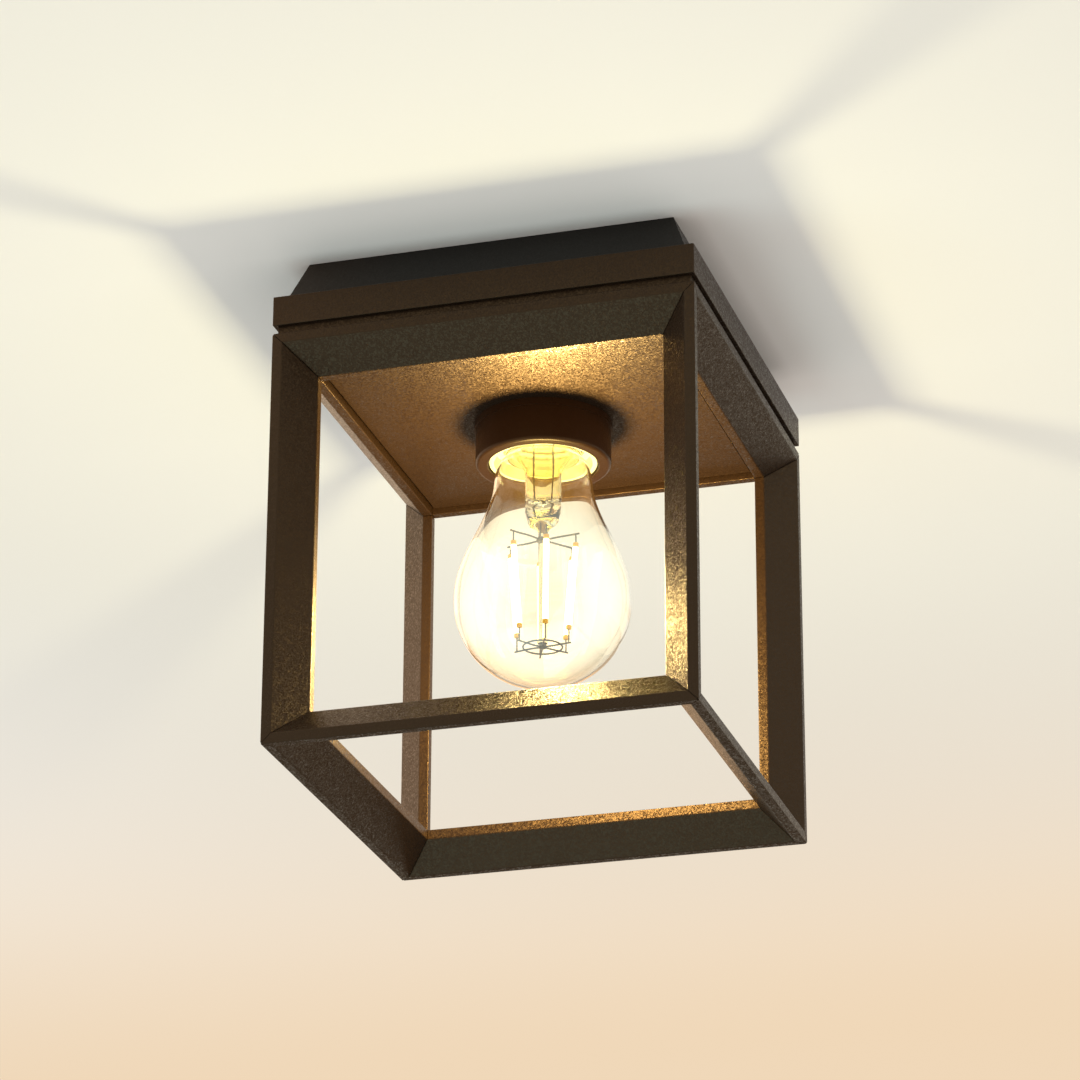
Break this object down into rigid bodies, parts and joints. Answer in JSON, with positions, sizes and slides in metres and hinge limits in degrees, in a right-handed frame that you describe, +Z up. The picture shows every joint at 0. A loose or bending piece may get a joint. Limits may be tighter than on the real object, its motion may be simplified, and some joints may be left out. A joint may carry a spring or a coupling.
{
  "type": "ceiling lantern",
  "caption": "Open cube-frame porch ceiling lantern in textured dark bronze, with a tapered ceiling base, square cap and clear screw-in filament bulb.",
  "frame": {"origin": "centre of the base's flat face against the ceiling", "axes": "+Z up into the ceiling, -Y towards the front, +X to the right; the lantern hangs below z = 0"},
  "size_m": [0.145, 0.145, 0.174],
  "materials": {
    "bronze_powder_coat": "aluminium under a fine-textured dark bronze powder coat",
    "black_powder_coat": "cast aluminium under a near-black fine-textured powder coat",
    "porcelain": "white unglazed porcelain",
    "clear_glass": "clear blown glass",
    "stem_glass": "clear pressed glass",
    "brass": "plain machined brass",
    "nickel_plate": "bright nickel plate on rolled sheet",
    "zinc_plate": "bright zinc plate on steel",
    "lamp_wire": "bare nickel wire",
    "spring_bronze": "phosphor bronze strip",
    "solder": "solder-faced contact",
    "vitrite": "black vitrified glass",
    "phosphor": "lit phosphor coating",
    "phosphor_end": "unlit yellow phosphor coating",
    "driver_board": "printed circuit board",
    "seal_rubber": "black seal rubber",
    "seal_foam": "black closed-cell foam",
    "block_plastic": "off-white moulded nylon",
    "brown_insulation": "brown wire insulation",
    "blue_insulation": "blue wire insulation",
    "green_yellow_insulation": "green and yellow wire insulation"
  },
  "bodies": {
    "lantern": {"back_bottom_rail": "bronze_powder_coat", "back_left_post": "bronze_powder_coat", "back_right_post": "bronze_powder_coat", "back_top_rail": "bronze_powder_coat", "base_side_screws": "zinc_plate", "cable_grommet": "seal_rubber", "cap_gasket": "seal_rubber", "cap_screws": "zinc_plate", "ceiling_base": "black_powder_coat", "ceiling_gasket": "seal_foam", "cover_panel": "bronze_powder_coat", "earth_lead": "green_yellow_insulation", "earth_screw": "brass", "earth_tag": "zinc_plate", "front_bottom_rail": "bronze_powder_coat", "front_left_post": "bronze_powder_coat", "front_right_post": "bronze_powder_coat", "front_top_rail": "bronze_powder_coat", "holder_body": "porcelain", "holder_centre_contact": "spring_bronze", "holder_nipple": "zinc_plate", "holder_shell": "nickel_plate", "holder_shroud": "bronze_powder_coat", "holder_side_contact": "spring_bronze", "left_bottom_rail": "bronze_powder_coat", "left_top_rail": "bronze_powder_coat", "live_lead": "brown_insulation", "neck_plate": "bronze_powder_coat", "neutral_lead": "blue_insulation", "nipple_nut": "zinc_plate", "nipple_washer": "zinc_plate", "panel_nuts": "zinc_plate", "panel_spacers": "zinc_plate", "panel_studs": "zinc_plate", "right_bottom_rail": "bronze_powder_coat", "right_top_rail": "bronze_powder_coat", "shroud_screws": "zinc_plate", "terminal_block": "block_plastic", "terminal_clamps": "brass", "terminal_fixing_screws": "zinc_plate", "terminal_screws": "zinc_plate", "top_cap": "bronze_powder_coat"},
    "bulb_tip": {"bulb_contact": "solder", "bulb_insulator": "vitrite"},
    "bulb": {"bulb_driver": "driver_board", "bulb_filament_ends": "phosphor_end", "bulb_filaments": "phosphor", "bulb_glass": "clear_glass", "bulb_lead_wires": "lamp_wire", "bulb_ring_wires": "lamp_wire", "bulb_screw_cap": "nickel_plate", "bulb_stem": "stem_glass", "bulb_top_wires": "lamp_wire"}
  },
  "joints": [
    {"name": "bulb_travel", "type": "slide", "parent": "lantern", "child": "bulb_tip", "axis": [0, 0, -1], "range_m": [0, 0.0182]},
    {"name": "bulb_turn", "type": "hinge", "parent": "bulb_tip", "child": "bulb", "pos_m": [0, 0, -0.05], "axis": [0, 0, -1], "range_deg": [0, 1800]}
  ],
  "couplings": [
    {"joint": "bulb_travel", "follows": "bulb_turn", "m_per_rad": 0.00057757}
  ]
}
